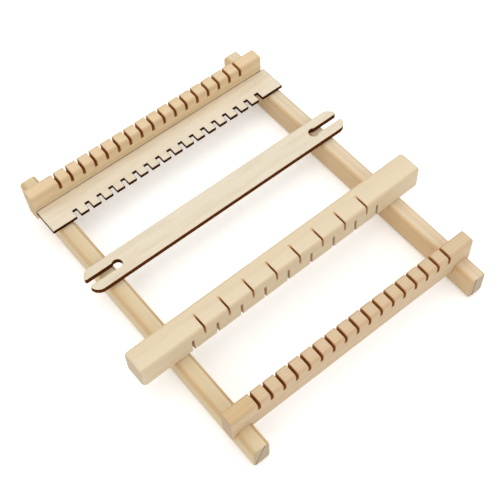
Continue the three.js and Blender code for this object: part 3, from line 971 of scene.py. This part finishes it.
def view_matrix(azimuth, elevation, roll, distance, target, slide):
    """Where a camera stands that looks at target from a distance, turned by roll and slid sideways and upwards."""
    back = Vector((math.sin(azimuth) * math.cos(elevation), -math.cos(azimuth) * math.cos(elevation),
                   math.sin(elevation)))
    right = Vector((math.cos(azimuth), math.sin(azimuth), 0))
    up = back.cross(right)
    right, up = math.cos(roll) * right + math.sin(roll) * up, math.cos(roll) * up - math.sin(roll) * right
    place = target + distance * back - slide[0] * right - slide[1] * up
    turn = Matrix((right, up, back)).transposed().to_4x4()
    return Matrix.Translation(place) @ turn


def seen_ray(w):
    """1 for rays that show the backdrop itself, straight or in a gloss, and 0 for its light on the loom."""
    rays = w.node("ShaderNodeLightPath").outputs
    return w.most(rays["Is Camera Ray"], w.most(rays["Is Glossy Ray"], rays["Is Transmission Ray"]))


def lamp(name, place, size, power, warmth):
    """A round lamp that points at the origin."""
    data = bpy.data.lights.new(name, "AREA")
    data.shape = "DISK"
    data.size = size
    data.energy = power
    data.color = warmth
    made = new_object(name, data)
    made.location = place
    made.rotation_euler = (-Vector(place)).to_track_quat("-Z", "Y").to_euler()


class LOOM_OT_stage(LoomOperator, bpy.types.Operator):
    """Lays the floor, hangs the lamps and stands the camera"""

    bl_idname = "loom.stage"
    bl_label = "Stage"

    def build(self, sizes, finish, places):
        reach, top, bottom = 2.5, -0.2 * MM, -1.2 * MM
        floor = turned("floor", [(0, bottom), (reach, bottom), (reach, top), (0, top)], 96)
        material, w, given = new_material("floor_paper")
        paper = w.noise(given["Object"], (3.0, 3.0, 3.0), 3.0)
        shader = w.tree.nodes["Principled BSDF"]
        w.feed_all(shader.inputs, {"Base Color": w.tinted(linear(finish.floor), PAPER_CLOUDS, paper),
                                   "Roughness": 0.9, "Specular IOR Level": 0.1})
        glow = w.made("ShaderNodeEmission", {"Color": WHITE, "Strength": w.times(seen_ray(w), 0.30)})
        both = w.made("ShaderNodeAddShader", {0: shader.outputs[0], 1: glow})
        w.feed(w.tree.nodes["Material Output"].inputs["Surface"], both)
        put_finish(floor, material)

        world = bpy.data.worlds.new("studio")
        bpy.context.scene.world = world
        world.use_nodes = True
        w = Wiring(world.node_tree)
        air = w.tree.nodes["Background"]
        w.feed_all(air.inputs, {"Color": AIR, "Strength": 0.67})
        backdrop = w.made("ShaderNodeBackground", {"Color": WHITE, "Strength": 1.0})
        either = w.made("ShaderNodeMixShader", {0: seen_ray(w), 1: air.outputs[0], 2: backdrop})
        w.feed(w.tree.nodes["World Output"].inputs["Surface"], either)

        lamp("overhead_lamp", place=(0.15, 0.35, 1.5), size=1.6, power=7.9, warmth=(1.0, 0.985, 0.955))
        lamp("front_lamp", place=(0.70, -1.25, 1.0), size=1.2, power=4.1, warmth=(0.985, 0.99, 1.0))
        lamp("left_lamp", place=(-1.3, -0.1, 0.8), size=1.2, power=2.5, warmth=(1.0, 0.985, 0.96))

        lens = bpy.data.cameras.new("photo_camera")
        lens.sensor_width = 36
        lens.lens = 73.018
        lens.clip_start = 0.01
        camera = new_object("photo_camera", lens)
        camera.matrix_world = view_matrix(
            azimuth=math.radians(-36.0975), elevation=math.radians(57.2629), roll=math.radians(-3.5013),
            distance=0.777839, target=Vector((0.005, -0.0321667, 0)), slide=(0.016193, -0.014780))
        bpy.context.scene.camera = camera
        bpy.context.scene.view_settings.view_transform = "Standard"


STEPS = (LOOM_OT_rails, LOOM_OT_beams, LOOM_OT_heddle_bar, LOOM_OT_comb, LOOM_OT_shuttle, LOOM_OT_screws,
         LOOM_OT_stage)


class LOOM_PT_bench(bpy.types.Panel):
    """Lists the loom's pieces, sizes and colours"""

    bl_idname = "LOOM_PT_bench"
    bl_label = "Tapestry loom"
    bl_space_type = "VIEW_3D"
    bl_region_type = "UI"
    bl_category = "Loom"

    def draw(self, context):
        for step in STEPS:
            self.layout.operator(step.bl_idname)
        for group in (context.scene.loom_sizes, context.scene.loom_finish):
            column = self.layout.column()
            for key in type(group).__annotations__:
                column.prop(group, key)


CLASSES = (LoomSizes, LoomFinish, *STEPS, LOOM_PT_bench)


def register():
    for cls in CLASSES:
        bpy.utils.register_class(cls)
    bpy.types.Scene.loom_sizes = PointerProperty(type=LoomSizes)
    bpy.types.Scene.loom_finish = PointerProperty(type=LoomFinish)


def unregister():
    del bpy.types.Scene.loom_finish
    del bpy.types.Scene.loom_sizes
    for cls in reversed(CLASSES):
        bpy.utils.unregister_class(cls)


def main():
    register()
    bpy.ops.loom.rails()
    bpy.ops.loom.beams()
    bpy.ops.loom.heddle_bar()
    bpy.ops.loom.comb()
    bpy.ops.loom.shuttle()
    bpy.ops.loom.screws()
    bpy.ops.loom.stage()


if __name__ == "__main__":
    main()
